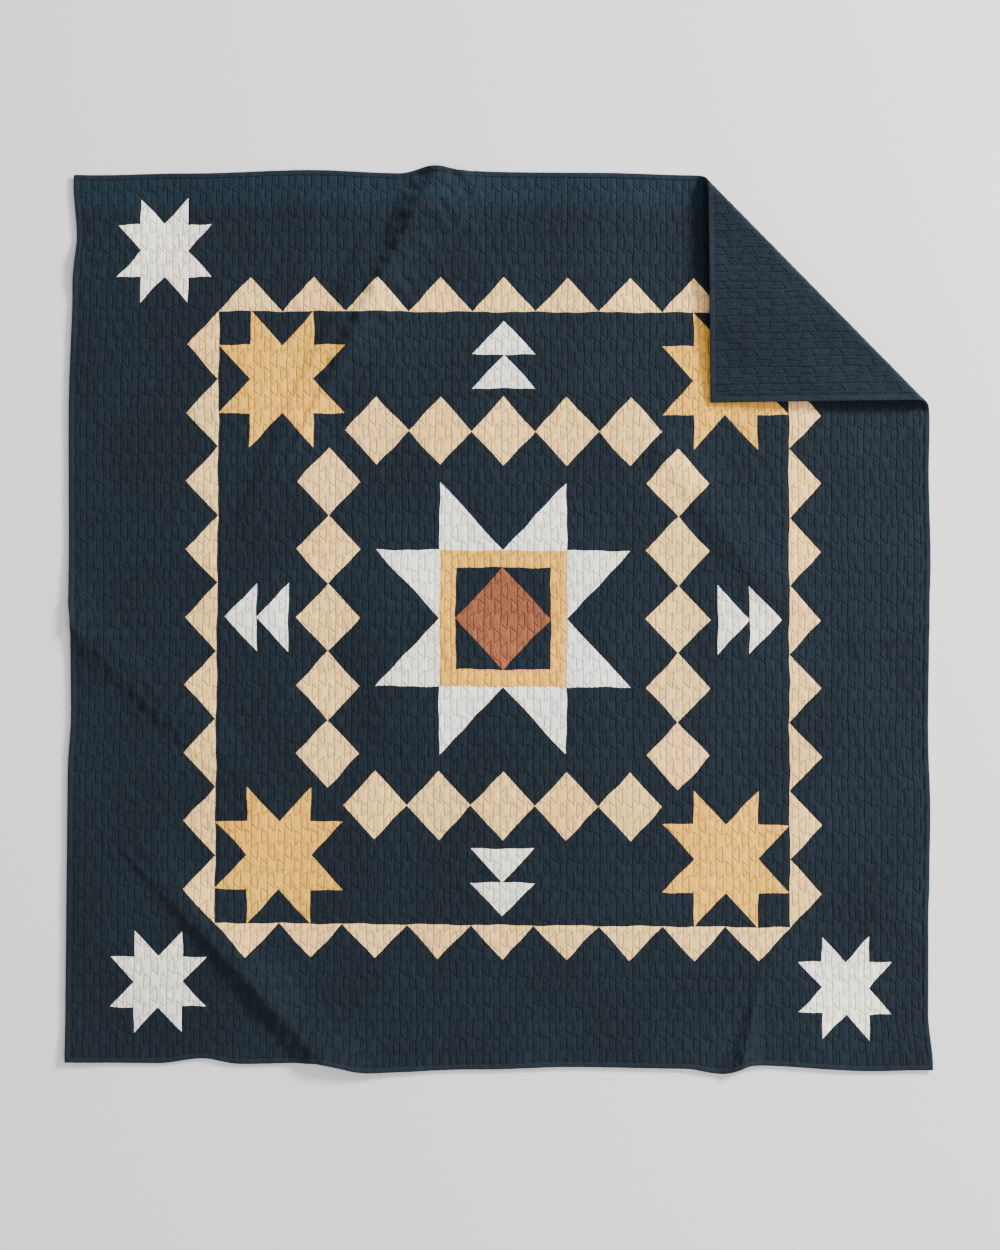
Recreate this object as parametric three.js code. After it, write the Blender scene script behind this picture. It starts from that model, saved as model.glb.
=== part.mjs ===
// A pieced cotton quilt, laid flat face up, with its top right corner turned over so that the
// plain backing shows. Millimetres, +X to the right, +Y to the top edge, +Z up, origin on the
// floor under the middle. Every piece is first drawn flat in cloth coordinates: u across, v up,
// w through the cloth from the backing's outer face. It is then given its outline and its low
// folds, and last it is bent over at the corner.
import * as THREE from 'three';

// The quilt as it is cut, and its stitched channels
const WIDTH = 2340;
const HEIGHT = 2420;
const CHANNEL = 45;
const CHANNELS_PER_STATION = 2;
const CHANNELS_PER_COLUMN = 4;
const ROW = 460;

// Through the cloth, from the outer face of the backing
const BACKING_TOP = 2.1;
const FRONT_UNDERSIDE = 2.4;
const FRONT_AT_STITCHES = 4.0;
const FRONT_CREST = 5.8;
const BACKING_STITCH_DEPTH = 0.9;
const BACKING_PINCH = 1.1;

// The binding folds round the edge of both layers
const BINDING_WIDTH = 12;
const BINDING_CLOTH = 0.8;
const BINDING_TOP = 5.1;
const BINDING_PROUD = 1.8;
const BINDING_CLEARANCE = 0.7;
const MITRE_GAP = 0.2;
const PINCH_INSET = 12.5;
const FULL_INSET = 16;
const GRID_INSET = 40;

// A point this close to a line counts as on it
const ON_LINE = 0.1;

// Corners of the quilt as it lies, before the corner is turned over
const CORNERS = {
  bottomLeft: { x: -1177.5, y: -1200.6 },
  bottomRight: { x: 1177.5, y: -1222.6 },
  topLeft: { x: -1153.5, y: 1206.4 },
  topRight: { x: 1166.5, y: 1201.4 },
};

// How far each edge wanders out of the straight line between its corners: at a place along it
const WAVE_REACH = 280;
const EDGE_WAVES = {
  top: [
    { at: -1143, out: 0 },
    { at: -860, out: 6 },
    { at: -520, out: 16 },
    { at: -280, out: 8 },
    { at: -190, out: 24 },
    { at: -100, out: 12 },
    { at: 270, out: 10 },
    { at: 530, out: 4 },
  ],
  bottom: [
    { at: -920, out: 0 },
    { at: -800, out: -14 },
    { at: -700, out: 0 },
    { at: -500, out: -5 },
    { at: -350, out: 20 },
    { at: -50, out: 9 },
    { at: 200, out: 0 },
    { at: 500, out: 2 },
    { at: 600, out: 15 },
    { at: 690, out: -9 },
    { at: 1000, out: 4 },
    { at: 1150, out: 0 },
  ],
  left: [
    { at: -1160, out: 0 },
    { at: -600, out: 0 },
    { at: -420, out: 0 },
    { at: -270, out: -7 },
    { at: -20, out: -4 },
    { at: 60, out: 2 },
    { at: 590, out: 7 },
    { at: 900, out: 0 },
    { at: 1040, out: -10 },
    { at: 1190, out: 0 },
  ],
  right: [
    { at: -1200, out: 0 },
    { at: -1060, out: -11 },
    { at: -830, out: -10 },
    { at: -500, out: -3 },
    { at: -300, out: -8 },
    { at: 0, out: -4 },
    { at: 180, out: 1 },
    { at: 400, out: -3 },
    { at: 560, out: 0 },
  ],
};

// Low folds in the cloth, in cloth coordinates. Each rises evenly from nothing at its tip to its
// height at the other end of its ridge, past the quilt's edge, and slopes evenly to its feet on
// the left and right.
const LOW_FOLDS = [
  { tipU: -626, tipV: 352, toU: -120, toV: 1310, high: 30, left: 95, right: 200 },
  { tipU: -636, tipV: -550, toU: -1230, toV: 50, high: 14, left: 80, right: 130 },
  { tipU: -1100, tipV: -550, toU: -380, toV: -1280, high: 26, left: 170, right: 95 },
  { tipU: 712, tipV: -930, toU: 640, toV: -1260, high: 20, left: 90, right: 60 },
];

// The corner that is turned over: the bend starts at a line square to the turn's direction
const TURN = { x: 0.713, y: 0.701 };
const TURN_START = 1223.6;
const BEND_RADIUS = 17;
const BEND_STEPS = 5;
const FLAP_LENGTH = 480;
const FLAP_STEPS = 2;
const FLAP_FALL = 27;
const FLAP_DRIFT = 0.06;

const NAVY = { color: 0x24303c, roughness: 0.9, metalness: 0 };
const NAVY_BACKING = { color: 0x28333f, roughness: 0.9, metalness: 0 };
const NAVY_BINDING = { color: 0x2a333d, roughness: 0.85, metalness: 0 };

const { lerp, smoothstep } = THREE.MathUtils;

// The height of a smooth line through the rows of a table, level beyond its two ends
function wave(rows, at) {
  const next = rows.findIndex((row) => row.at > at);
  if (next < 0) return rows[rows.length - 1].out;
  if (next === 0) return rows[0].out;
  const before = rows[next - 1];
  return lerp(before.out, rows[next].out, smoothstep(at, before.at, rows[next].at));
}

// Where a flat point of the cloth lies on the floor, before any fold
function outline(u, v) {
  const across = u / WIDTH + 0.5;
  const up = v / HEIGHT + 0.5;
  const between = (axis) => lerp(
    lerp(CORNERS.bottomLeft[axis], CORNERS.bottomRight[axis], across),
    lerp(CORNERS.topLeft[axis], CORNERS.topRight[axis], across),
    up,
  );
  const near = (inset) => 1 - smoothstep(inset, 0, WAVE_REACH);
  const right = wave(EDGE_WAVES.right, v) * near(WIDTH / 2 - u);
  const left = wave(EDGE_WAVES.left, v) * near(WIDTH / 2 + u);
  const top = wave(EDGE_WAVES.top, u) * near(HEIGHT / 2 - v);
  const bottom = wave(EDGE_WAVES.bottom, u) * near(HEIGHT / 2 + v);
  return { x: between('x') + right - left, y: between('y') + top - bottom };
}

// The same folds on the floor, each with its tip, its ridge and the direction to its left
const FLOOR_FOLDS = LOW_FOLDS.map(({ tipU, tipV, toU, toV, high, left, right }) => {
  const tip = outline(tipU, tipV);
  const end = outline(toU, toV);
  const ridge = new THREE.Vector2(end.x - tip.x, end.y - tip.y);
  const across = new THREE.Vector2(-ridge.y, ridge.x).normalize();
  return { tip, ridge, across, high, left, right };
});

// How high the low folds lift the cloth over a place on the floor
function lift({ x, y }) {
  let height = 0;
  for (const { tip, ridge, across, high, left, right } of FLOOR_FOLDS) {
    const from = new THREE.Vector2(x - tip.x, y - tip.y);
    const side = from.dot(across);
    const share = from.dot(ridge) / ridge.lengthSq();
    height += Math.max(0, high * (share - Math.abs(side) / (side > 0 ? left : right)));
  }
  return height;
}

// The three lines of each fold, its ridge and its feet, from its tip outwards
const FOLD_LINES = FLOOR_FOLDS.flatMap(({ tip, ridge, across, left, right }) => (
  [left, 0, -right].map((reach) => ({ tip, way: ridge.clone().addScaledVector(across, reach).normalize() }))
));

// Stations of the turned corner, each with how far past the start of the bend it is, where it
// comes to, and which way the cloth's thickness points there
const TURN_STATIONS = [];
for (let step = 0; step <= BEND_STEPS; step++) {
  const angle = Math.PI * step / BEND_STEPS;
  TURN_STATIONS.push({
    past: BEND_RADIUS * angle,
    out: BEND_RADIUS * Math.sin(angle),
    z: BEND_RADIUS * (1 - Math.cos(angle)),
    thickOut: -Math.sin(angle),
    thickUp: Math.cos(angle),
  });
}
for (let step = 1; step <= FLAP_STEPS; step++) {
  const back = FLAP_LENGTH * step / FLAP_STEPS;
  TURN_STATIONS.push({
    past: BEND_RADIUS * Math.PI + back,
    out: -back,
    z: 2 * BEND_RADIUS - FLAP_FALL * (step / FLAP_STEPS) ** 2,
    thickOut: 0,
    thickUp: -1,
  });
}

const pastTurn = (x, y) => x * TURN.x + y * TURN.y - TURN_START;

// Lifts the outlined cloth at the low folds and bends it over at the corner. w is the place
// through the cloth.
function folded({ x, y, w }) {
  const past = pastTurn(x, y);
  if (past <= 0) return [x, y, lift({ x, y }) + w];
  let next = TURN_STATIONS.findIndex((station) => station.past > past);
  if (next < 0) next = TURN_STATIONS.length - 1;
  const from = TURN_STATIONS[next - 1];
  const to = TURN_STATIONS[next];
  const part = (past - from.past) / (to.past - from.past);
  const out = TURN_START + lerp(from.out, to.out, part) + w * lerp(from.thickOut, to.thickOut, part);
  const flap = Math.max(0, past - BEND_RADIUS * Math.PI);
  const along = x * TURN.y - y * TURN.x + FLAP_DRIFT * flap;
  return [
    TURN.x * out + TURN.y * along,
    TURN.y * out - TURN.x * along,
    lerp(from.z, to.z, part) + w * lerp(from.thickUp, to.thickUp, part),
  ];
}

// The four sides, counterclockwise from the bottom, each with the point at a place along it
const SIDES = {
  bottom: { half: WIDTH / 2, point: (along, inset) => [along, inset - HEIGHT / 2] },
  right: { half: HEIGHT / 2, point: (along, inset) => [WIDTH / 2 - inset, along] },
  top: { half: WIDTH / 2, point: (along, inset) => [-along, HEIGHT / 2 - inset] },
  left: { half: HEIGHT / 2, point: (along, inset) => [inset - WIDTH / 2, -along] },
};

// Even steps from one end to the other, both included
function steps(from, to, size) {
  const count = Math.ceil((to - from) / size);
  return Array.from({ length: count + 1 }, (_, i) => lerp(from, to, i / count));
}

// Places along each side, between its corners, where its edge has a point
for (const side of Object.values(SIDES)) {
  side.stations = steps(-side.half, side.half, CHANNEL * CHANNELS_PER_STATION).slice(1, -1);
}

// A closed piece in cloth coordinates: points [u, v, w] and triangles of their numbers
class FlatPiece {
  constructor() {
    this.points = [];
    this.triangles = [];
  }

  add(u, v, w) {
    return this.points.push([u, v, w]) - 1;
  }

  // A ring of points round the cloth at one inset from its edge, as four chains of numbers
  ring(inset, w) {
    const sides = Object.values(SIDES);
    const corners = sides.map(({ half, point }) => this.add(...point(inset - half, inset), w));
    return sides.map(({ point, stations }, i) => [
      corners[i],
      ...stations.map((along) => this.add(...point(along, inset), w)),
      corners[(i + 1) % sides.length],
    ]);
  }

  // A grid of points inside the ring, with its four outer chains in the same order
  grid(columns, rows, surface) {
    const numbers = rows.map((v) => columns.map((u) => this.add(u, v, surface(u, v))));
    for (let j = 0; j + 1 < rows.length; j++) {
      for (let i = 0; i + 1 < columns.length; i++) {
        this.triangles.push([numbers[j][i], numbers[j][i + 1], numbers[j + 1][i + 1]]);
        this.triangles.push([numbers[j][i], numbers[j + 1][i + 1], numbers[j + 1][i]]);
      }
    }
    const last = rows.length - 1;
    return [
      numbers[0],
      numbers.map((row) => row[columns.length - 1]),
      [...numbers[last]].reverse(),
      numbers.map((row) => row[0]).reverse(),
    ];
  }

  // Joins two chains of one side with triangles, taking the nearer next point each time
  zip(outer, inner, side) {
    const place = (number) => {
      const [u, v] = this.points[number];
      return side % 2 ? (side === 1 ? v : -v) : (side === 0 ? u : -u);
    };
    let i = 0;
    let j = 0;
    while (i + 1 < outer.length || j + 1 < inner.length) {
      const innerDone = j + 1 === inner.length;
      const outerNext = i + 1 < outer.length && (innerDone || place(outer[i + 1]) <= place(inner[j + 1]));
      if (outerNext) this.triangles.push([outer[i], outer[++i], inner[j]]);
      else this.triangles.push([outer[i], inner[j + 1], inner[j++]]);
    }
  }

  // One face of a layer, from its grid outwards to the strip that is pinched in the binding
  face({ columns, rows, surface, full, pinched }) {
    let chains = this.grid(columns, rows, surface);
    for (const [inset, w] of [[FULL_INSET, full], [PINCH_INSET, pinched], [0, pinched]]) {
      const ring = this.ring(inset, w);
      ring.forEach((chain, side) => this.zip(chain, chains[side], side));
      chains = ring;
    }
    return chains;
  }
}

// Cuts triangles along a line, so that a fold there falls on their edges. beyond gives a point's
// distance past the line, and within says whether the line reaches that point.
function cutAlong(points, triangles, beyond, within = () => true) {
  const distances = points.map((point) => {
    const distance = beyond(point);
    return Math.abs(distance) < ON_LINE ? 0 : distance;
  });
  const cuts = new Map();
  const cut = (a, b) => {
    const [low, high] = a < b ? [a, b] : [b, a];
    if (distances[low] * distances[high] >= 0) return -1;
    const key = `${low} ${high}`;
    if (!cuts.has(key)) {
      const part = distances[low] / (distances[low] - distances[high]);
      const mixed = {};
      for (const name of Object.keys(points[low])) {
        mixed[name] = lerp(points[low][name], points[high][name], part);
      }
      cuts.set(key, within(mixed) ? points.push(mixed) - 1 : -1);
      if (cuts.get(key) >= 0) distances.push(0);
    }
    return cuts.get(key);
  };
  const result = [];
  for (const [a, b, c] of triangles) {
    const turns = [[a, b, c], [b, c, a], [c, a, b]].filter(([p, q]) => cut(p, q) >= 0);
    if (turns.length === 0) {
      result.push([a, b, c]);
    } else if (turns.length === 1) {
      const [p, q, r] = turns[0];
      result.push([p, cut(p, q), r], [cut(p, q), q, r]);
    } else {
      const [p, q, r] = turns.find(([from, , other]) => cut(other, from) >= 0);
      result.push([p, cut(p, q), cut(r, p)], [cut(p, q), q, r], [cut(p, q), r, cut(r, p)]);
    }
  }
  return result;
}

// Lays a flat piece out on the floor, folds it and makes a mesh of it
function laid(piece, name, look) {
  const points = piece.points.map(([u, v, w]) => ({ ...outline(u, v), w }));
  let { triangles } = piece;
  for (const { tip, way } of FOLD_LINES) {
    const beyond = ({ x, y }) => (x - tip.x) * way.y - (y - tip.y) * way.x;
    const within = ({ x, y }) => (x - tip.x) * way.x + (y - tip.y) * way.y > -ON_LINE;
    triangles = cutAlong(points, triangles, beyond, within);
  }
  for (const { past } of TURN_STATIONS) {
    triangles = cutAlong(points, triangles, ({ x, y }) => pastTurn(x, y) - past);
  }
  const geometry = new THREE.BufferGeometry();
  geometry.setAttribute('position', new THREE.Float32BufferAttribute(points.flatMap(folded), 3));
  geometry.setIndex(triangles.flat());
  geometry.computeVertexNormals();
  const mesh = new THREE.Mesh(geometry, new THREE.MeshStandardMaterial(look));
  mesh.name = name;
  return mesh;
}

const innerU = WIDTH / 2 - GRID_INSET;
const innerV = HEIGHT / 2 - GRID_INSET;

// Places of the stitched channels' lines and crests across the cloth, or only every few lines
function channelPlaces(size, from = -WIDTH / 2) {
  return steps(-WIDTH / 2, WIDTH / 2, size).filter((u) => u > from && Math.abs(u) < innerU - CHANNEL / 8);
}

const fineColumns = [-innerU, ...channelPlaces(CHANNEL / 2), innerU];
const coarseColumns = [-innerU, ...channelPlaces(CHANNEL * CHANNELS_PER_COLUMN), innerU];

// Rows run through the tips of the folds, so that no fold starts inside a triangle
const tipRows = [...new Set(LOW_FOLDS.map(({ tipV }) => tipV))].sort((a, b) => a - b);
const rowEnds = [-innerV, ...tipRows, innerV];
const rows = [-innerV, ...rowEnds.slice(1).flatMap((to, i) => steps(rowEnds[i], to, ROW).slice(1))];

// The backing shows its channels only where the corner is turned over
const flapLeft = Math.min(...steps(-WIDTH / 2, WIDTH / 2, CHANNEL).filter((u) => {
  const { x, y } = outline(u, HEIGHT / 2);
  return pastTurn(x, y) > -CHANNEL;
}));
const backingColumns = [
  ...coarseColumns.filter((u) => u < flapLeft),
  ...channelPlaces(CHANNEL / 2, flapLeft - 1),
  innerU,
];

// From 0 on a stitch line to 1 in the middle of a channel
function crest(u) {
  const place = Math.abs(u / CHANNEL + WIDTH / 2 / CHANNEL) % 1;
  return 1 - Math.abs(2 * place - 1);
}

function turnedShare(u, v) {
  const { x, y } = outline(u, v);
  return smoothstep(pastTurn(x, y), 0, BEND_RADIUS * Math.PI);
}

// A layer of cloth: an upper and a lower face, joined round the edge
function layer(upper, lower) {
  const piece = new FlatPiece();
  const lowerEdge = piece.face(lower);
  piece.triangles = piece.triangles.map(([a, b, c]) => [a, c, b]);
  const upperEdge = piece.face(upper);
  upperEdge.forEach((chain, side) => {
    for (let i = 0; i + 1 < chain.length; i++) {
      const [a, b] = [lowerEdge[side][i], lowerEdge[side][i + 1]];
      piece.triangles.push([a, b, chain[i + 1]], [a, chain[i + 1], chain[i]]);
    }
  });
  return piece;
}

const frontFace = layer(
  {
    columns: fineColumns,
    rows,
    surface: (u) => lerp(FRONT_AT_STITCHES, FRONT_CREST, crest(u)),
    full: (FRONT_AT_STITCHES + FRONT_CREST) / 2,
    pinched: FRONT_AT_STITCHES,
  },
  {
    columns: coarseColumns,
    rows,
    surface: () => FRONT_UNDERSIDE,
    full: FRONT_UNDERSIDE,
    pinched: FRONT_UNDERSIDE,
  },
);

const backing = layer(
  {
    columns: coarseColumns,
    rows,
    surface: () => BACKING_TOP,
    full: BACKING_TOP,
    pinched: BACKING_TOP,
  },
  {
    columns: backingColumns,
    rows,
    surface: (u, v) => BACKING_STITCH_DEPTH * (1 - crest(u)) * turnedShare(u, v),
    full: 0,
    pinched: BACKING_PINCH,
  },
);

// Section of a binding strip: how far in from the cloth's edge, and where through the cloth
const BINDING_SECTION = [
  { inset: BINDING_WIDTH, w: 0 },
  { inset: BINDING_WIDTH, w: BINDING_CLOTH },
  { inset: -BINDING_CLEARANCE, w: BINDING_CLOTH },
  { inset: -BINDING_CLEARANCE, w: BINDING_TOP - BINDING_CLOTH },
  { inset: BINDING_WIDTH, w: BINDING_TOP - BINDING_CLOTH },
  { inset: BINDING_WIDTH, w: BINDING_TOP },
  { inset: -BINDING_PROUD / 2, w: BINDING_TOP },
  { inset: -BINDING_PROUD, w: BINDING_TOP / 2 },
  { inset: -BINDING_PROUD / 2, w: 0 },
];

// A binding strip along one side, cut slantwise at both ends to meet its neighbours
function bindingStrip({ half, point, stations }) {
  const piece = new FlatPiece();
  const section = BINDING_SECTION;
  const place = (along, inset) => THREE.MathUtils.clamp(along, inset + MITRE_GAP - half, half - inset - MITRE_GAP);
  const hoops = [-2 * half, ...stations, 2 * half].map((along) => (
    section.map(({ inset, w }) => piece.add(...point(place(along, inset), inset), w))
  ));
  for (let i = 0; i + 1 < hoops.length; i++) {
    for (let j = 0; j < section.length; j++) {
      const k = (j + 1) % section.length;
      const [a, b, c, d] = [hoops[i][j], hoops[i + 1][j], hoops[i + 1][k], hoops[i][k]];
      if (section[j].inset < section[k].inset) piece.triangles.push([a, d, b], [b, d, c]);
      else piece.triangles.push([a, c, b], [a, d, c]);
    }
  }
  const contour = section.map(({ inset, w }) => new THREE.Vector2(inset, w));
  for (const corners of THREE.ShapeUtils.triangulateShape(contour, [])) {
    const [a, b, c] = corners;
    piece.triangles.push([hoops[0][c], hoops[0][b], hoops[0][a]]);
    const end = hoops[hoops.length - 1];
    piece.triangles.push([end[a], end[b], end[c]]);
  }
  return piece;
}

const group = new THREE.Group();
group.add(laid(frontFace, 'quilt_front', NAVY));
group.add(laid(backing, 'quilt_back', NAVY_BACKING));
for (const [name, side] of Object.entries(SIDES)) {
  group.add(laid(bindingStrip(side), `binding_${name}`, NAVY_BINDING));
}

export default group;
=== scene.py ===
import math

import bpy
import numpy as np
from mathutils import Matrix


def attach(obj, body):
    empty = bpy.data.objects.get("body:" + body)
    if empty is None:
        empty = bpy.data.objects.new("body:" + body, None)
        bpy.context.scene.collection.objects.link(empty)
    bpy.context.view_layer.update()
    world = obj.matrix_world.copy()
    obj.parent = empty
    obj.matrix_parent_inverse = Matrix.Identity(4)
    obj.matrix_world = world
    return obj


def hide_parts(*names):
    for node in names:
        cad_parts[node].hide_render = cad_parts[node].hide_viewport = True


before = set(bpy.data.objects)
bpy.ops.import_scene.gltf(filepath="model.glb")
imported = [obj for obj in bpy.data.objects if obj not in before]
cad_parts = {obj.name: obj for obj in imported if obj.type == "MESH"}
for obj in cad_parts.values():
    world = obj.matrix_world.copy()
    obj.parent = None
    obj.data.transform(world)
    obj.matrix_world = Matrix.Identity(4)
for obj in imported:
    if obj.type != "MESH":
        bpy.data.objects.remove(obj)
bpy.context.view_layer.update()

# The camera
# It looks straight down on the quilt from above its middle, with the quilt's top edge up, so
# that no side of it shows.
FLOOR_SEEN = 3.4                     # metres of floor along the picture's long side
LENS, SENSOR = 50.0, 36.0            # mm
AIM = (0.0028, -0.0145)              # metres from the quilt's middle
FAR_CLIP = 50.0                      # metres
eye = bpy.data.objects.new("camera", bpy.data.cameras.new("camera"))
eye.data.lens = LENS
eye.data.sensor_width = SENSOR
eye.data.clip_end = FAR_CLIP
eye.location = (*AIM, LENS * FLOOR_SEEN / SENSOR)
bpy.context.scene.collection.objects.link(eye)
bpy.context.scene.camera = eye

# The backing
# One plain navy cotton cloth under the whole quilt, stitched to the front through the batting.
# It lies on the floor, and shows where the top right corner is turned over. All lengths below
# are millimetres, unless a line says otherwise.
MM = 0.001                           # metres
WIDTH, HEIGHT = 2340.0, 2420.0       # the quilt as it is cut
CHANNEL = 45.0                       # between two straight stitch lines
STITCH_PERIOD = 79.0                 # along a channel, from one tab to the next on the same side
# A stitched tab: how far it stands out, and half its length at the line and at its far side
LEFT_TAB = {"reach": 18.0, "root": 6.5, "half": 23.5}
RIGHT_TAB = {"reach": 17.0, "root": 6.5, "half": 20.0}
PUFF_REACH = 6.5                     # how soon the cloth rises beside a stitch line
BINDING_WIDTH = 12.0
PINCH_SLOPE = 8.0                    # past the binding, where the cloth regains its thickness
BACKING_PINCH = 1.1                  # how far the backing rises under the binding
BACKING_STITCH_DEPTH = 1.3
EDGE_MARGIN = 1.0                    # the cut edges end this far inside the binding's fold
EDGE_U, EDGE_V = WIDTH / 2 - EDGE_MARGIN, HEIGHT / 2 - EDGE_MARGIN

CORNERS = {"bottom_left": (-1177.5, -1200.6), "bottom_right": (1177.5, -1222.6),
           "top_left": (-1153.5, 1206.4), "top_right": (1166.5, 1201.4)}
# How far each edge wanders out of its straight line: place along it, distance
EDGE_WAVES = {
    "top": [(-1143, 0), (-860, 6), (-520, 16), (-280, 8), (-190, 24), (-100, 12), (270, 10),
            (530, 4)],
    "bottom": [(-920, 0), (-800, -14), (-700, 0), (-500, -5), (-350, 20), (-50, 9), (200, 0),
               (500, 2), (600, 15), (690, -9), (1000, 4), (1150, 0)],
    "left": [(-600, 0), (-420, 0), (-270, -7), (-20, -4), (60, 2), (590, 7), (900, 0),
             (1040, -10), (1190, 0)],
    "right": [(-1200, 0), (-1060, -11), (-830, -10), (-500, -3), (-300, -8), (0, -4), (180, 1),
              (400, -3), (560, 0)],
}
WAVE_REACH = 280.0                   # how far in an edge's wandering is felt
# Folds that run out over an edge: tip, far end, height there, feet to the left and right of the way
OPEN_FOLDS = [
    ((-626, 352), (-120, 1310), 30.0, 95.0, 200.0),
    ((-636, -550), (-1230, 50), 14.0, 80.0, 130.0),
    ((-1100, -550), (-380, -1280), 26.0, 170.0, 95.0),
    ((712, -930), (640, -1260), 20.0, 90.0, 60.0),
]
CREST_FULLNESS = 0.9                 # how round an open fold's sides are below its sharp crest
TIP_SHARE = 1e-6                     # keeps a fold's foot wider than nothing
# Softer creases: one end, other end, height, feet to the left and right of the way
CREASES = [
    ((-720, 210), (-325, 1075), 7.0, 42.0, 120.0),
    ((-640, -480), (-1130, 15), 5.5, 42.0, 110.0),
    ((-1010, -580), (-560, -1110), 5.5, 110.0, 42.0),
    ((788, -1), (380, 543), 6.0, 60.0, 110.0),
    ((1307, 24), (897, -83), 6.0, 45.0, 80.0),
    ((1300, -675), (951, -845), 6.0, 45.0, 80.0),
    ((-1280, 890), (-884, 1149), 7.0, 60.0, 80.0),
    ((-273, -382), (-422, 162), 4.5, 110.0, 170.0),
    ((190, -464), (-82, -518), 3.5, 50.0, 80.0),
    ((-626, 1122), (462, 1122), 5.0, 85.0, 110.0),
]
CREASE_END = 110.0                   # over which a crease fades at each end
# How a fold's foot strays from its even line: share of its width, mm for each radian, start
FOOT_STRAY = [(0.1, 43.0, 0.0), (0.07, 17.3, 1.0)]

# Waves in the cloth, as rows for waves() below: height, mm along and mm aside for each radian,
# the bend's radians, and mm aside for each radian of the bend
NONE = math.inf
WRINKLES = [(1.0, 7.1, NONE, 3.0, 27.0), (0.6, 11.7, -19.0, 0.0, NONE),
            (0.35, 3.3, 23.0, 2.0, 8.7)]
WRINKLE_HEIGHT = 10.5                # on the open folds
WRINKLES_FULL_AT = 0.5               # share of the way along an open fold
CREASE_WRINKLE_HEIGHT = 3.5
SWELL = 0.5
SWELL_ACROSS, SWELL_UP = [(1.0, 61.0, NONE, 1.0, 97.0)], [(1.0, 53.0, NONE, 0.0, NONE)]
RUMPLE = 0.45
RUMPLE_ACROSS, RUMPLE_UP = [(1.0, 10.3, NONE, 2.0, 37.0)], [(1.0, 12.1, NONE, 2.0, 41.0)]
CALM_BEFORE_TURN = 50.0              # over which swell and rumple fade towards the turn
EDGE_CURL = 4.5                      # at the left and bottom edges
LEFT_EDGE, BOTTOM_EDGE = -1170.0, -1215.0
CURL_REACH = 140.0
DRAWN_IN = 1.3                       # how far the quilting pulls the cloth out of line
DRAWN_ACROSS = [(1.0, 37.0, NONE, 2.0, 83.0), (0.6, 13.7, 41.0, 0.0, NONE)]
DRAWN_UP = [(1.0, 31.0, NONE, 2.0, 71.0), (0.6, 11.9, 47.0, 0.0, NONE)]
DRAWN_FROM, DRAWN_TO = 20.0, 90.0    # distances in from the edge

TURN = (0.713, 0.701)                # the direction that the corner is turned back from
TURN_START = 1223.6                  # its distance from the middle
BEND_RADIUS = 17.0
FLAP_LENGTH = 480.0
FLAP_FALL = 27.0                     # how far the turned corner sinks over its length
FLAP_DRIFT = 0.06                    # how far it slips aside for each mm back
FLAP_WAVE = 0.9
FLAP_WAVE_FROM, FLAP_WAVE_TO = 20.0, 90.0
FLAP_WAVES = [(1.0, 23.0, 67.0, 1.0, 31.0)]


def smooth(value, start, end):
    """Rises from 0 at start to 1 at end as 3t^2 - 2t^3."""
    part = np.clip((value - start) / (end - start), 0.0, 1.0)
    return part * part * (3 - 2 * part)


def waves(rows, along, aside):
    """The sum over the rows of height * sin(along / length + aside / lean + bend * sin(aside /
    bend_length)): sine waves one way, whose crests lean and bend."""
    return sum(height * np.sin(along / length + aside / lean + bend * np.sin(aside / bend_length))
               for height, length, lean, bend, bend_length in rows)


def edge_line(rows, at):
    """A smooth line through the rows of a table, level beyond its two ends."""
    places, outs = np.array(rows, float).T
    k = np.clip(np.searchsorted(places, at) - 1, 0, len(places) - 2)
    return outs[k] + (outs[k + 1] - outs[k]) * smooth(at, places[k], places[k + 1])


def outline(u, v):
    """Floor place of cloth point (u, v): a straight blend of the four corners, and each edge's
    wandering, which fades out with the distance in from that edge."""
    across, up = u / WIDTH + 0.5, v / HEIGHT + 0.5
    spot = []
    for axis in range(2):
        low = CORNERS["bottom_left"][axis] * (1 - across) + CORNERS["bottom_right"][axis] * across
        high = CORNERS["top_left"][axis] * (1 - across) + CORNERS["top_right"][axis] * across
        spot.append(low * (1 - up) + high * up)

    def near(distance):
        """1 at an edge, 0 from WAVE_REACH in."""
        return 1 - smooth(distance, 0, WAVE_REACH)
    x = spot[0] + edge_line(EDGE_WAVES["right"], v) * near(WIDTH / 2 - u)
    x = x - edge_line(EDGE_WAVES["left"], v) * near(WIDTH / 2 + u)
    y = spot[1] + edge_line(EDGE_WAVES["top"], u) * near(HEIGHT / 2 - v)
    y = y - edge_line(EDGE_WAVES["bottom"], u) * near(HEIGHT / 2 + v)
    return x, y


def from_line(start, end, x, y):
    """Distances of (x, y) along the line from start to end and to its left, and the length."""
    (sx, sy), (ex, ey) = start, end
    length = math.hypot(ex - sx, ey - sy)
    wx, wy = (ex - sx) / length, (ey - sy) / length
    return (x - sx) * wx + (y - sy) * wy, wx * (y - sy) - wy * (x - sx), length


def down_side(way, side, left, right, share=1.0):
    """0 on a fold's crest to 1 at its foot, which lies left or right of the crest by its share
    of those widths, and strays in two sine waves along the fold."""
    stray = 1 + sum(size * np.sin(way / length + start) for size, length, start in FOOT_STRAY)
    return np.clip(np.abs(side) / (np.where(side > 0, left, right) * share * stray), 0, 1)


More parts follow.
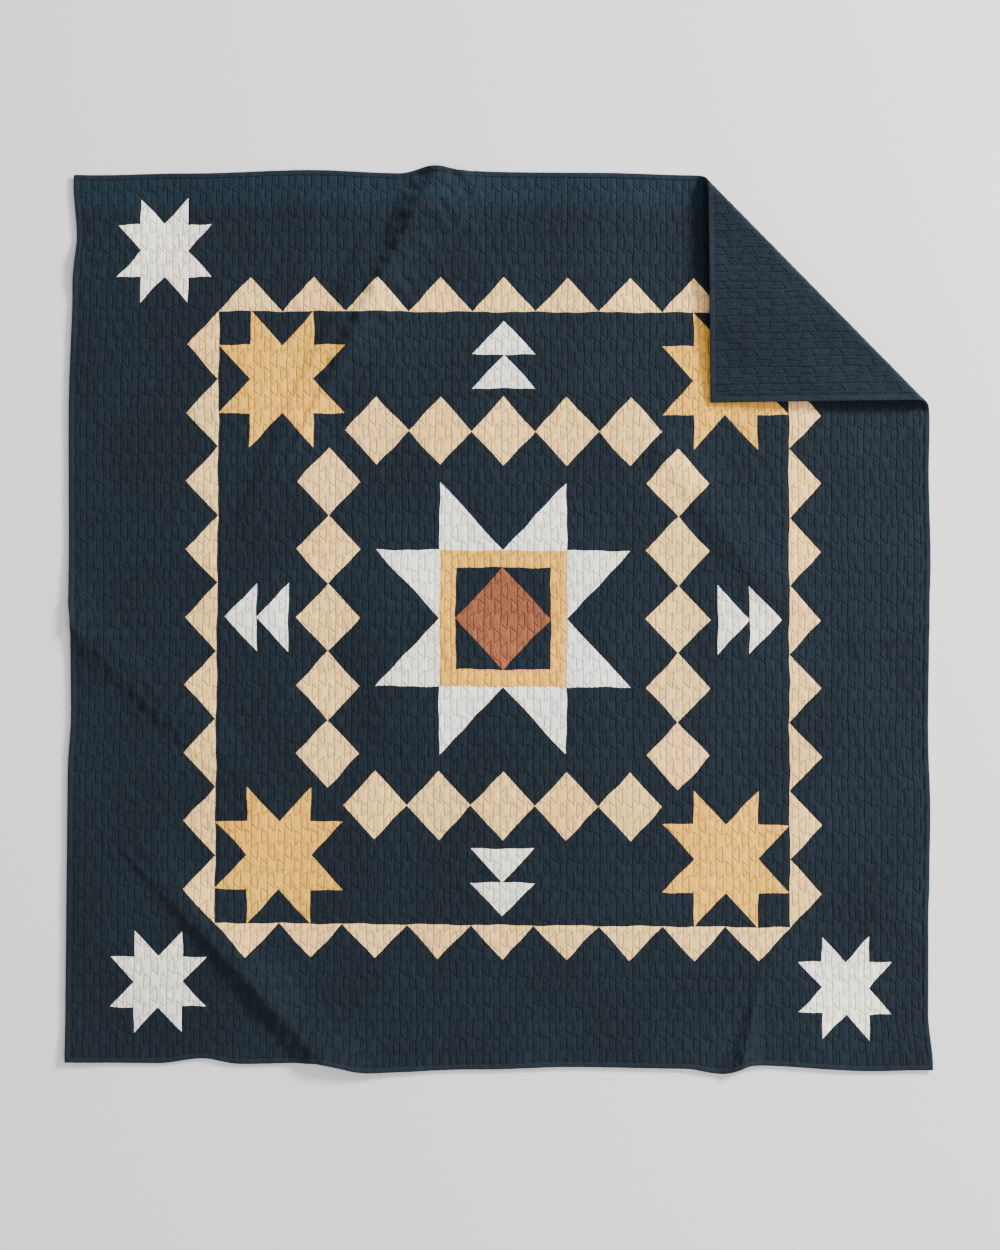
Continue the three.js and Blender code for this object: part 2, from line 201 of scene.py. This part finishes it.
def lift(x, y):
    """Height of the folds over a floor place. An open fold widens and rises evenly from its tip
    to a sharp crest; a crease is half a cosine wave on each side and fades at its ends; both
    have wrinkles part-way down, as part (1 - part)^2. The whole cloth swells and rumples a
    little in products of sine waves, up to where it is turned back, and curls up along its left
    and bottom edges."""
    height = np.zeros_like(x)
    for start, end, high, left, right in OPEN_FOLDS:
        tip, far = (outline(*np.array(point, float)) for point in (start, end))
        way, side, length = from_line(tip, far, x, y)
        share = np.maximum(way / length, TIP_SHARE)
        part = down_side(way, side, left, right, share)
        height += high * share * (1 - part) ** 2 * (1 + CREST_FULLNESS * part)
        wrinkled = WRINKLE_HEIGHT * np.minimum(share / WRINKLES_FULL_AT, 1)
        height += wrinkled * waves(WRINKLES, way, side) * part * (1 - part) ** 2
    for start, end, high, left, right in CREASES:
        way, side, length = from_line(start, end, x, y)
        part = down_side(way, side, left, right)
        ends = smooth(way, 0, CREASE_END) * smooth(length - way, 0, CREASE_END)
        height += high * ends * (0.5 + 0.5 * np.cos(np.pi * part))
        height += CREASE_WRINKLE_HEIGHT * ends * waves(WRINKLES, way, side) * part * (1 - part) ** 2
    swell = SWELL * (1 + waves(SWELL_ACROSS, x, y) * waves(SWELL_UP, y, x))
    rumple = RUMPLE * (1 + waves(RUMPLE_ACROSS, x, y) * waves(RUMPLE_UP, y, x))
    curl = EDGE_CURL * (1 - smooth(x - LEFT_EDGE, 0, CURL_REACH))
    curl += EDGE_CURL * (1 - smooth(y - BOTTOM_EDGE, 0, CURL_REACH))
    before_turn = smooth(TURN_START - x * TURN[0] - y * TURN[1], 0, CALM_BEFORE_TURN)
    return np.maximum(height, 0) + (swell + rumple) * before_turn + curl


def inset(u, v):
    """Distance in from the nearest edge of the cut cloth."""
    return np.minimum(WIDTH / 2 - np.abs(u), HEIGHT / 2 - np.abs(v))


def past_turn(u, v):
    """How far a cloth point's floor place lies past the start of the turn, square to it."""
    x, y = outline(u, v)
    return x * TURN[0] + y * TURN[1] - TURN_START


def place(u, v, w):
    """Metres of cloth point (u, v) at w through the cloth. The quilting has drawn the cloth a
    little out of line, in two sine waves. Before the turn it is the outlined place at lift + w;
    then the cloth runs round a half circle, with w towards its middle; then it runs back over
    the quilt, upside down, falling with the square of the way."""
    drawn = DRAWN_IN * smooth(inset(u, v), DRAWN_FROM, DRAWN_TO)
    u, v = u + drawn * waves(DRAWN_ACROSS, v, u), v + drawn * waves(DRAWN_UP, u, v)
    x, y = outline(u, v)
    out = x * TURN[0] + y * TURN[1]
    along = x * TURN[1] - y * TURN[0]
    past = out - TURN_START
    angle = np.clip(past / BEND_RADIUS, 0, math.pi)
    back = np.maximum(past - BEND_RADIUS * math.pi, 0)
    turned_out = TURN_START + (BEND_RADIUS - w) * np.sin(angle) - back
    fall = FLAP_FALL * (back / FLAP_LENGTH) ** 2
    wavy = FLAP_WAVE * smooth(back, FLAP_WAVE_FROM, FLAP_WAVE_TO) * waves(FLAP_WAVES, back, along)
    turned_z = BEND_RADIUS - (BEND_RADIUS - w) * np.cos(angle) - fall + wavy
    along = along + FLAP_DRIFT * back
    turned = past > 0
    out = np.where(turned, turned_out, out)
    z = np.where(turned, turned_z, lift(x, y) + w)
    return np.stack([out * TURN[0] + along * TURN[1], out * TURN[1] - along * TURN[0], z], -1) * MM


def stitch_gap(u, v):
    """Distance in the cloth to the nearest stitch: the straight lines, and in each channel the
    tabs, whose long sides stand free and whose slanted sides run to the straight line."""
    x = np.mod(u + WIDTH / 2, CHANNEL)
    y = np.mod(v, STITCH_PERIOD)
    gap = np.minimum(x, CHANNEL - x)
    for tab, across, middle in ((LEFT_TAB, x, 0.0), (RIGHT_TAB, CHANNEL - x, STITCH_PERIOD / 2)):
        along = np.abs(np.mod(y - middle + STITCH_PERIOD / 2, STITCH_PERIOD) - STITCH_PERIOD / 2)
        long_side = np.hypot(across - tab["reach"], np.maximum(along - tab["half"], 0))
        rise = (tab["half"] - tab["root"]) / tab["reach"]
        slant = np.abs(along - tab["root"] - rise * across) / math.hypot(1, rise)
        slant = np.hypot(slant, np.maximum(across - tab["reach"], 0))
        gap = np.minimum(gap, np.minimum(long_side, slant))
    return gap


def puff(u, v):
    """From 0 on a stitch to nearly 1 between stitches, as 1 - exp(-(gap / PUFF_REACH)^2)."""
    return 1 - np.exp(-(stitch_gap(u, v) / PUFF_REACH) ** 2)


def unpinched(u, v):
    """0 under the binding, 1 where the cloth has its whole thickness again."""
    return smooth(inset(u, v), BINDING_WIDTH, BINDING_WIDTH + PINCH_SLOPE)


def backing_w(u, v):
    """Outer face of the backing: flat on the floor, stitched down where it is turned over."""
    turned = smooth(past_turn(u, v), 0, BEND_RADIUS * math.pi)
    stitched = BACKING_STITCH_DEPTH * (1 - puff(u, v)) * turned
    return BACKING_PINCH + (stitched - BACKING_PINCH) * unpinched(u, v)


def steps(start, end, size):
    """Even places from start to end, about size apart."""
    return np.linspace(start, end, max(2, round((end - start) / size) + 1))


def grid_triangles(columns, rows, flip=False, falling=None):
    """Two triangles for each cell of a grid of points, rows first. falling marks the cells whose
    dividing line falls to the right; flip turns the faces over."""
    i, j = np.meshgrid(np.arange(columns - 1), np.arange(rows - 1))
    a = (j * columns + i).ravel()
    b, c, d = a + 1, a + columns + 1, a + columns
    first = np.stack([a, b, c], 1)
    second = np.stack([a, c, d], 1)
    if falling is not None:
        mark = falling.ravel()[:, None]
        first = np.where(mark, np.stack([a, b, d], 1), first)
        second = np.where(mark, np.stack([b, c, d], 1), second)
    faces = np.stack([first, second], 1).reshape(-1, 3)
    return faces[:, ::-1] if flip else faces


def cloth_piece(name, points, faces, uv, material, colours=None):
    """A mesh object at the origin with smooth faces, its cloth map and its patch colours."""
    mesh = bpy.data.meshes.new(name)
    mesh.vertices.add(len(points))
    mesh.vertices.foreach_set("co", points.astype(np.float32).ravel())
    mesh.loops.add(faces.size)
    mesh.loops.foreach_set("vertex_index", faces.astype(np.int32).ravel())
    sides = faces.shape[1]
    mesh.polygons.add(len(faces))
    mesh.polygons.foreach_set("loop_start", np.arange(0, faces.size, sides, dtype=np.int32))
    mesh.polygons.foreach_set("use_smooth", np.ones(len(faces), bool))
    layer = mesh.uv_layers.new(name="cloth")
    layer.data.foreach_set("uv", uv[faces.ravel()].astype(np.float32).ravel())
    if colours is not None:
        patch = mesh.color_attributes.new("patch", "FLOAT_COLOR", "CORNER")
        corner = np.ones((faces.size, 4), np.float32)
        corner[:, :3] = np.repeat(colours, sides, axis=0)
        patch.data.foreach_set("color", corner.ravel())
    mesh.update()
    mesh.validate()
    mesh.materials.append(material)
    piece = bpy.data.objects.new(name, mesh)
    bpy.context.scene.collection.objects.link(piece)
    return piece


def cloth_map(u, v):
    """The cut cloth on the unit square."""
    return np.stack([u / WIDTH + 0.5, v / HEIGHT + 0.5], -1)


class Wire:
    """One value in a material's nodes. An expression on wires adds its Math nodes."""

    def __init__(self, tree, socket=None):
        self.tree, self.socket = tree, socket

    def node(self, kind, settings=None, inputs=None, output=0):
        """Adds a node with its settings and inputs, and gives one of its outputs."""
        made = self.tree.nodes.new(kind)
        for name, value in (settings or {}).items():
            setattr(made, name, value)
        for name, value in (inputs or {}).items():
            if isinstance(value, Wire):
                self.tree.links.new(value.socket, made.inputs[name])
            else:
                made.inputs[name].default_value = value
        return Wire(self.tree, made.outputs[output])

    def output(self, number):
        """Another output of the same node."""
        return Wire(self.tree, self.socket.node.outputs[number])

    def math(self, operation, *values):
        """A Math node on the values."""
        return self.node("ShaderNodeMath", {"operation": operation}, dict(enumerate(values)))

    def __add__(self, other):
        return self.math("ADD", self, other)

    __radd__ = __add__

    def __sub__(self, other):
        return self.math("SUBTRACT", self, other)

    def __rsub__(self, other):
        return self.math("SUBTRACT", other, self)

    def __mul__(self, other):
        return self.math("MULTIPLY", self, other)

    __rmul__ = __mul__

    def __truediv__(self, other):
        return self.math("DIVIDE", self, other)

    def __mod__(self, period):
        return self.math("FLOORED_MODULO", self, period)

    def __abs__(self):
        return self.math("ABSOLUTE", self)

    def root(self):
        """Its square root."""
        return self.math("SQRT", self)

    def sine(self):
        """Its sine, in radians."""
        return self.math("SINE", self)

    def least(self, other):
        """The smaller of the two."""
        return self.math("MINIMUM", self, other)

    def most(self, other):
        """The larger of the two."""
        return self.math("MAXIMUM", self, other)

    def around(self, period):
        """The distance to the nearest whole multiple of the period."""
        return abs(self.math("WRAP", self, period / 2, -period / 2))

    def ramp(self, start, end, low=0.0, high=1.0):
        """From low at start to high at end as 3t^2 - 2t^3."""
        return self.node("ShaderNodeMapRange", {"interpolation_type": "SMOOTHSTEP"},
                         {"Value": self, "From Min": start, "From Max": end,
                          "To Min": low, "To Max": high})


def srgb(red, green, blue):
    """A screen colour in 0 to 255 as the linear colour that a material takes."""
    part = np.array([red, green, blue]) / 255
    linear = np.where(part < 0.04045, part / 12.92, ((part + 0.055) / 1.055) ** 2.4)
    return (*linear.tolist(), 1.0)


def thread_gap(u, v):
    """stitch_gap as material maths: distance to the nearest stitch."""
    from_edge = u + WIDTH / 2
    x = from_edge % CHANNEL
    gap = from_edge.around(CHANNEL)
    for tab, across, middle in ((LEFT_TAB, x, 0.0), (RIGHT_TAB, CHANNEL - x, STITCH_PERIOD / 2)):
        along = (v - middle).around(STITCH_PERIOD)
        over = (along - tab["half"]).most(0.0)
        aside = across - tab["reach"]
        long_side = (aside * aside + over * over).root()
        rise = (tab["half"] - tab["root"]) / tab["reach"]
        slant = abs(along - tab["root"] - rise * across) / math.hypot(1, rise)
        slant = slant + aside.most(0.0)
        gap = gap.least(long_side).least(slant)
    return gap


# The cotton's grain: size across and along the threads, detail
CLOUD = (240.0, 300.0, 3.0)
CRUMPLE = (15.0, 30.0, 3.0)
SLUB = (1.3, 9.0, 2.0)
PUCKER = (15.0, 5.5, 2.0)
GRAIN_FROM, GRAIN_TO = 0.3, 0.7      # the part of the noise that shows
# Darkest and palest tone that each of them gives. The crumple's tone rises with its bump height, so
# it is painted shade in the crumples' hollows and painted light on their tops
CLOUD_TONE, CRUMPLE_LIGHT_AND_SHADE, SLUB_TONE = (0.9, 1.12), (0.9, 1.1), (0.88, 1.1)
CRUMPLE_DEPTH, SLUB_DEPTH, PUCKER_DEPTH = 3.6, 0.35, 1.5
PUCKER_FROM, PUCKER_TO = 2.0, CHANNEL / 4    # distances from a stitch
# A groove's width, depth and tone: the tone is painted shade, darkening the cloth towards each
# stitch line
GROOVE, GROOVE_DEPTH, GROOVE_SHADE = 3.4, 1.2, 0.84
THREAD = 1.2
STITCH_LENGTH = 5.0
STITCH_THREAD_AND_SHADE = 0.55                   # share of the colour that a stitch takes away: its thread, and painted shade in the dimple it pulls in
STITCH_FROM, STITCH_TO = -0.9, -0.3  # of the sine along the thread, where a stitch begins
# Where the cloth is crumpled a stitch sinks in: from, to, how much shows
STITCH_SUNK = (0.35, 0.6, 0.4, 1.0)
COTTON_ROUGHNESS, COTTON_SPECULAR, COTTON_SHEEN = 0.9, 0.15, 0.05


def cotton(name, colour, stitched=True):
    """Plain woven cotton: its colour, or the patch colours, times the tones of its grain, with
    slubs, soft fading and puckers, and painted light and shade on its crumples; where it is
    quilted, each stitch in its groove, with painted shade in the groove and stitches darkened by
    thread and painted shade."""
    material = bpy.data.materials.new(name)
    material.use_nodes = True
    tree = material.node_tree
    shader = tree.nodes["Principled BSDF"]
    start = Wire(tree)
    uv = start.node("ShaderNodeUVMap", {"uv_map": "cloth"})
    both = start.node("ShaderNodeSeparateXYZ", inputs={0: uv})
    u = (both - 0.5) * WIDTH
    v = (both.output(1) - 0.5) * HEIGHT
    spot = start.node("ShaderNodeCombineXYZ", inputs={0: u, 1: v})

    def noise(across, up, detail):
        """Soft noise whose grains are across by up mm."""
        scaled = spot.node("ShaderNodeVectorMath", {"operation": "MULTIPLY"},
                           {0: spot, 1: (1 / across, 1 / up, 1.0)})
        return spot.node("ShaderNodeTexNoise", inputs={"Vector": scaled, "Scale": 1.0,
                                                       "Detail": detail})

    if colour is None:
        base = start.node("ShaderNodeAttribute", {"attribute_name": "patch"})
    else:
        base = start.node("ShaderNodeRGB")
        base.socket.default_value = colour
    cloud, crumple, slub, pucker = noise(*CLOUD), noise(*CRUMPLE), noise(*SLUB), noise(*PUCKER)
    tone = cloud.ramp(GRAIN_FROM, GRAIN_TO, *CLOUD_TONE)
    # Painted light and shade of the crumples: lighter where their bump is higher
    tone = tone * crumple.ramp(GRAIN_FROM, GRAIN_TO, *CRUMPLE_LIGHT_AND_SHADE)
    tone = tone * slub.ramp(GRAIN_FROM, GRAIN_TO, *SLUB_TONE)
    height = crumple * CRUMPLE_DEPTH + slub * SLUB_DEPTH
    if stitched:
        gap = thread_gap(u, v)
        # Painted shade in the groove beside each stitch line
        tone = tone * gap.ramp(0.0, GROOVE, GROOVE_SHADE, 1.0)
        stitch = ((v + u) * (2 * math.pi / STITCH_LENGTH)).sine().ramp(STITCH_FROM, STITCH_TO)
        # Each stitch darkens the cloth: its thread, and painted shade where it pulls the cloth in
        thread_and_shade = stitch * crumple.ramp(*STITCH_SUNK) * gap.ramp(THREAD / 2, THREAD, STITCH_THREAD_AND_SHADE, 0.0)
        tone = tone * (1.0 - thread_and_shade)
        height = height + gap.ramp(0.0, GROOVE) * GROOVE_DEPTH
        height = height + pucker * gap.ramp(PUCKER_FROM, PUCKER_TO, PUCKER_DEPTH, PUCKER_DEPTH / 3)
    else:
        height = height + pucker * PUCKER_DEPTH / 2
    grey = start.node("ShaderNodeCombineColor", inputs={0: tone, 1: tone, 2: tone})
    tinted = start.node("ShaderNodeMix", {"data_type": "RGBA", "blend_type": "MULTIPLY"},
                        {0: 1.0, 6: base, 7: grey}, output=2)
    tree.links.new(tinted.socket, shader.inputs["Base Color"])
    bump = start.node("ShaderNodeBump", inputs={"Height": height, "Distance": MM, "Strength": 1.0})
    tree.links.new(bump.socket, shader.inputs["Normal"])
    shader.inputs["Roughness"].default_value = COTTON_ROUGHNESS
    shader.inputs["Specular IOR Level"].default_value = COTTON_SPECULAR
    shader.inputs["Sheen Weight"].default_value = COTTON_SHEEN
    return material


NAVY_BACK = srgb(19, 29, 39)
FINE_STEP = 5.6                      # where the turned corner shows
COARSE_STEP = 26.0                   # where the backing lies on the floor
FINE_FROM_U, FINE_FROM_V = 470.0, 500.0
RIM = np.array([0.0, 6.0, 11.0, 16.0, 21.0])    # mesh lines under the binding
RIM_END = 30.0


def backing_lines(edge, fine_from):
    """Mesh lines from one edge of the backing to the other: the rim, coarse ones, fine ones."""
    return np.concatenate([-edge + RIM, steps(-edge + RIM_END, fine_from, COARSE_STEP),
                           steps(fine_from, edge, FINE_STEP)[1:]])


back_u, back_v = backing_lines(EDGE_U, FINE_FROM_U), backing_lines(EDGE_V, FINE_FROM_V)
u, v = (side.ravel() for side in np.meshgrid(back_u, back_v))
backing = cloth_piece("backing", place(u, v, backing_w(u, v)),
                      grid_triangles(len(back_u), len(back_v), flip=True), cloth_map(u, v),
                      cotton("navy backing cotton", NAVY_BACK))
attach(backing, "root")
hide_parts("quilt_back")

# The pieced top
# Cotton patches sewn together edge to edge: a medallion of stars in the middle field and four
# plain navy borders with a row of peach teeth, all stitched down in narrow channels.
UNIT_U, UNIT_V = 173.1, 185.6        # one patch unit, across and up
CENTRE_U, CENTRE_V = 8.0, 7.0        # the medallion's middle
CELLS = 32                           # mesh cells along one unit
SLIVER = 1.0                         # a mesh line this near to the cloth's edge is left out
ROUNDING = 1e-6                      # of a cell
FRONT_AT_STITCHES = 3.9              # above the backing's outer face
FRONT_PUFF = 2.1
SEAM_LOOK = 0.004                    # units, how near to a seam the cloth is drawn in
SEAM_TURNS = np.radians(22.5 + 45.0 * np.arange(1, 8))
SEAM_DEPTH = 0.8
NAVY, WHITE, PEACH, GOLD, RUST, NAVY_STRIP = range(6)
CLOTHS = np.array([srgb(20, 30, 39), srgb(248, 245, 231), srgb(252, 205, 130),
                   srgb(240, 176, 66), srgb(140, 82, 54), srgb(21, 35, 46)])[:, :3]
PATCH_FADE = np.array([0.05, 0.03, 0.06])    # how much two patches of one cloth differ
FADE_ROW = 13                        # patches before the fading repeats
patch_tones = 1 + PATCH_FADE * np.random.default_rng(7).uniform(-1, 1, (FADE_ROW * FADE_ROW, 3))
# The pattern, in units from the middle
FIELD = 4.5                          # half the field
BEYOND = 9.0                         # past every edge of the quilt
TOP_STRIP_FROM = 6.0                 # up from the middle, where a bluer strip is sewn on
MIDDLE_STAR = 2.0                    # half its width, and so on for the others
FRAME_INSIDE = 0.75
SQUARES_AT, SQUARES_END = 2.75, 2.5
GEESE_FEET = (3.375, 3.875)
GOLD_STARS_AT, GOLD_STAR = 3.5, 1.0
WHITE_STARS_AT, WHITE_STAR = 5.375, 0.75


def star(across, up, middle, half):
    """True in an eight-pointed star about (middle, middle): a square half its size, and on each
    side of that two points, which rise from the square's middle line to its corners."""
    one, other = np.abs(across - middle), np.abs(up - middle)
    far, near = np.maximum(one, other), np.minimum(one, other)
    return (far < half / 2) | ((far < half) & (near < half / 2) & (far < half / 2 + near))


def patchwork(a, b):
    """Cloth number at places (a, b) in units from the middle. By symmetry only the distances
    from the two middle lines count: p is the larger and q the smaller."""
    across, up = np.abs(a), np.abs(b)
    p, q = np.maximum(across, up), np.minimum(across, up)
    tooth = 0.5 - np.abs(q - np.round(q))
    cloth = np.full(a.shape, NAVY)
    cloth[b > TOP_STRIP_FROM] = NAVY_STRIP
    # A white star, and in it a gold frame round a rust square on point
    cloth[star(across, up, 0.0, MIDDLE_STAR)] = WHITE
    cloth[p < MIDDLE_STAR / 2] = GOLD
    cloth[p < FRAME_INSIDE] = NAVY
    cloth[across + up < FRAME_INSIDE] = RUST
    # A row of peach squares on point round the star
    cloth[(q < SQUARES_END) & (np.abs(p - SQUARES_AT) < tooth)] = PEACH
    # Two white geese on each side
    for foot in GEESE_FEET:
        cloth[(p > foot) & (q < 0.5) & (p - foot < 0.5 - q)] = WHITE
    # A gold star in each corner of the field, peach teeth round it, white stars in the borders
    cloth[star(across, up, GOLD_STARS_AT, GOLD_STAR)] = GOLD
    cloth[(p > FIELD) & (q < FIELD) & (p - FIELD < tooth)] = PEACH
    cloth[star(across, up, WHITE_STARS_AT, WHITE_STAR)] = WHITE
    return cloth


def on_seam(a, b):
    """1 where the cloths a hair's breadth round a place differ, else 0."""
    first = patchwork(a + SEAM_LOOK, b + SEAM_LOOK / 2)
    seam = np.zeros(a.shape)
    for angle in SEAM_TURNS:
        look = patchwork(a + SEAM_LOOK * math.cos(angle), b + SEAM_LOOK * math.sin(angle))
        seam[look != first] = 1
    return seam


def front_w(u, v):
    """Upper face of the quilt: down at the stitches and under the binding, puffed between, with
    each seam drawn in."""
    seam = on_seam((u - CENTRE_U) / UNIT_U, (v - CENTRE_V) / UNIT_V)
    return FRONT_AT_STITCHES + (FRONT_PUFF * puff(u, v) - SEAM_DEPTH * seam) * unpinched(u, v)


def cell_places(low, high, unit, centre, half):
    """Mesh lines on whole cells between two places in units, or out to the cloth's edge."""
    start = math.ceil((max(low * unit, -half - centre)) / unit * CELLS - ROUNDING)
    end = math.floor((min(high * unit, half - centre)) / unit * CELLS + ROUNDING)
    places = np.arange(start, end + 1) * unit / CELLS + centre
    if low * unit + centre < -half:
        places = np.concatenate([[-half], places[places > -half + SLIVER]])
    if high * unit + centre > half:
        places = np.concatenate([places[places < half - SLIVER], [half]])
    return places


patch_cotton = cotton("pieced cotton", None)


def top_piece(name, low, high):
    """One cloth of the top between two corners in units. A cell is divided along the seam that
    crosses it, and each half has the colour of the patch that it lies in."""
    us = cell_places(low[0], high[0], UNIT_U, CENTRE_U, EDGE_U)
    vs = cell_places(low[1], high[1], UNIT_V, CENTRE_V, EDGE_V)
    u, v = (side.ravel() for side in np.meshgrid(us, vs))
    middle_a = ((us[1:] + us[:-1]) / 2 - CENTRE_U) / UNIT_U
    middle_b = ((vs[1:] + vs[:-1]) / 2 - CENTRE_V) / UNIT_V
    a, b = np.meshgrid(middle_a, middle_b)
    third = 1 / CELLS / 3
    north, south = patchwork(a, b + third), patchwork(a, b - third)
    east, west = patchwork(a + third, b), patchwork(a - third, b)
    falling = (north == east) & (south == west) & (north != south)
    cloth = np.stack([south.ravel(), north.ravel()], 1).ravel()
    block = (np.round(a).astype(int) * FADE_ROW + np.round(b).astype(int)) % len(patch_tones)
    tone = np.repeat(patch_tones[block.ravel()], 2, axis=0)
    plain = (cloth == NAVY) | (cloth == NAVY_STRIP)
    colours = CLOTHS[cloth] * np.where(plain[:, None], 1.0, tone)
    piece = cloth_piece(name, place(u, v, front_w(u, v)),
                        grid_triangles(len(us), len(vs), falling=falling), cloth_map(u, v),
                        patch_cotton, colours)
    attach(piece, "root")
    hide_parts("quilt_front")
    (us[-1] - us[0]) * MM
    (vs[-1] - vs[0]) * MM


top_piece("pieced_field", (-FIELD, -FIELD), (FIELD, FIELD))
top_piece("border_left", (-BEYOND, -FIELD), (-FIELD, FIELD))
top_piece("border_right", (FIELD, -FIELD), (BEYOND, FIELD))
top_piece("border_bottom", (-BEYOND, -BEYOND), (BEYOND, -FIELD))
top_piece("border_top", (-BEYOND, FIELD), (BEYOND, BEYOND))

# The binding
# Four navy cotton strips, folded lengthwise round the raw edge of both layers, stitched through
# near their inner edge and mitred at the corners.
NAVY_BINDING = srgb(25, 34, 43)
BINDING_CLOTH = 0.8                  # a strip's thickness
BINDING_TOP = 5.2                    # its upper face above the floor
BINDING_PROUD = 1.8                  # how far its fold stands out past the cut edge
BINDING_STEP = 7.0
MITRE_GAP = 0.2
PAST_CORNER = 2.0                    # the strip before it is mitred
STRIP_SWELL = 0.21                   # how much its upper face swells between stitches
SWELL_DEPTH = 0.4                    # the part of the section that swells, down from the top
SWELL_FROM = 1.0                     # and in from the edge
# The section of a folded strip: distance in from the cut edge, height above the floor
SECTION = np.array([
    (BINDING_WIDTH, 0.15), (BINDING_WIDTH, BINDING_CLOTH), (-0.7, BINDING_CLOTH),
    (-0.7, BINDING_TOP - BINDING_CLOTH), (BINDING_WIDTH, BINDING_TOP - BINDING_CLOTH),
    (BINDING_WIDTH, BINDING_TOP - 0.35), (BINDING_WIDTH - 1.0, BINDING_TOP - 0.05),
    (8.0, BINDING_TOP + 0.15), (5.0, BINDING_TOP + 0.2), (2.0, BINDING_TOP + 0.05),
    (0.4, BINDING_TOP - 0.3), (-0.9, BINDING_TOP - 1.1), (-1.6, BINDING_TOP - 2.0),
    (-BINDING_PROUD, BINDING_TOP / 2), (-1.6, 1.4), (-0.9, 0.5), (0.4, 0.1), (2.0, 0.0),
    (8.0, 0.0), (BINDING_WIDTH - 1.0, 0.0)])
# The triangles that close an end, by the section's points
END_FACES = np.array([
    (0, 1, 19), (1, 18, 19), (1, 17, 18), (1, 2, 17), (2, 16, 17), (2, 15, 16), (2, 14, 15),
    (2, 13, 14), (2, 3, 13), (3, 12, 13), (3, 11, 12), (3, 10, 11), (3, 9, 10), (3, 4, 9),
    (4, 8, 9), (4, 7, 8), (4, 6, 7), (4, 5, 6)])
# Each side: half its length, and the cloth point at a distance along it and in from it
SIDES = {
    "bottom": (WIDTH / 2, lambda along, deep: (along, deep - HEIGHT / 2)),
    "right": (HEIGHT / 2, lambda along, deep: (WIDTH / 2 - deep, along)),
    "top": (WIDTH / 2, lambda along, deep: (-along, HEIGHT / 2 - deep)),
    "left": (HEIGHT / 2, lambda along, deep: (deep - WIDTH / 2, -along)),
}
binding_cotton = cotton("navy binding cotton", NAVY_BINDING, stitched=False)


def binding_strip(name, half, point):
    """The section carried along one side, with each of its points held back to the mitre at
    both ends, and the two ends closed. Its upper face swells as a product of two sine waves."""
    along, k = np.meshgrid(steps(-half - PAST_CORNER, half + PAST_CORNER, BINDING_STEP),
                           np.arange(len(SECTION)), indexing="ij")
    deep, w = SECTION[k, 0], SECTION[k, 1]
    along = np.clip(along, deep + MITRE_GAP - half, half - deep - MITRE_GAP)
    swell = STRIP_SWELL * np.sin(along / 6.1) * np.sin(along / 17.3 + 1.0)
    w = w + np.where((w > BINDING_TOP - SWELL_DEPTH) & (deep > SWELL_FROM), swell, 0)
    u, v = (np.asarray(side).ravel() for side in point(along, deep))
    hoops, sides = along.shape
    i, j = (part.ravel() for part in np.meshgrid(np.arange(hoops - 1), np.arange(sides),
                                                 indexing="ij"))
    after = (j + 1) % sides
    quads = np.stack([i * sides + j, i * sides + after, (i + 1) * sides + after,
                      (i + 1) * sides + j], 1)
    faces = np.concatenate([quads[:, [0, 1, 2]], quads[:, [0, 2, 3]],
                            END_FACES[:, ::-1], END_FACES + (hoops - 1) * sides])
    piece = cloth_piece(name + "_strip", place(u, v, w.ravel()), faces, cloth_map(u, v),
                        binding_cotton)
    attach(piece, "root")
    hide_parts(name)


for side, (half, point) in SIDES.items():
    binding_strip("binding_" + side, half, point)

# The floor and the light
# A plain pale grey floor, one soft studio light from the right and above, a wide weak one, and
# even light from all round.
FLOOR_SIZE = 40.0                    # metres
FLOOR_GREY = srgb(236, 235, 235)
FLOOR_ROUGHNESS = 0.95
WORLD_LIGHT = 0.7
reach = FLOOR_SIZE / 2
floor_mesh = bpy.data.meshes.new("floor")
floor_mesh.from_pydata([(-reach, -reach, 0), (reach, -reach, 0), (reach, reach, 0),
                        (-reach, reach, 0)], [], [(0, 1, 2, 3)])
floor = bpy.data.objects.new("floor", floor_mesh)
floor_look = bpy.data.materials.new("pale floor")
floor_look.use_nodes = True
floor_shader = floor_look.node_tree.nodes["Principled BSDF"]
floor_shader.inputs["Base Color"].default_value = FLOOR_GREY
floor_shader.inputs["Roughness"].default_value = FLOOR_ROUGHNESS
floor_mesh.materials.append(floor_look)
bpy.context.scene.collection.objects.link(floor)


def soft_light(name, spot, size, power):
    """A square area light of that many metres and watts, which faces the quilt's middle."""
    light = bpy.data.objects.new(name, bpy.data.lights.new(name, "AREA"))
    light.data.shape = "SQUARE"
    light.data.size = size
    light.data.energy = power
    light.location = spot
    x, y, z = spot
    light.rotation_euler = (0.0, math.atan2(math.hypot(x, y), z), math.atan2(y, x))
    bpy.context.scene.collection.objects.link(light)


soft_light("key", (8.6, 5.4, 4.5), 2.4, 3100.0)
soft_light("fill", (3.6, -2.0, 6.0), 5.0, 230.0)
world = bpy.data.worlds.new("studio")
world.use_nodes = True
sky = world.node_tree.nodes["Background"]
sky.inputs["Color"].default_value = (1.0, 1.0, 1.0, 1.0)
sky.inputs["Strength"].default_value = WORLD_LIGHT
bpy.context.scene.world = world
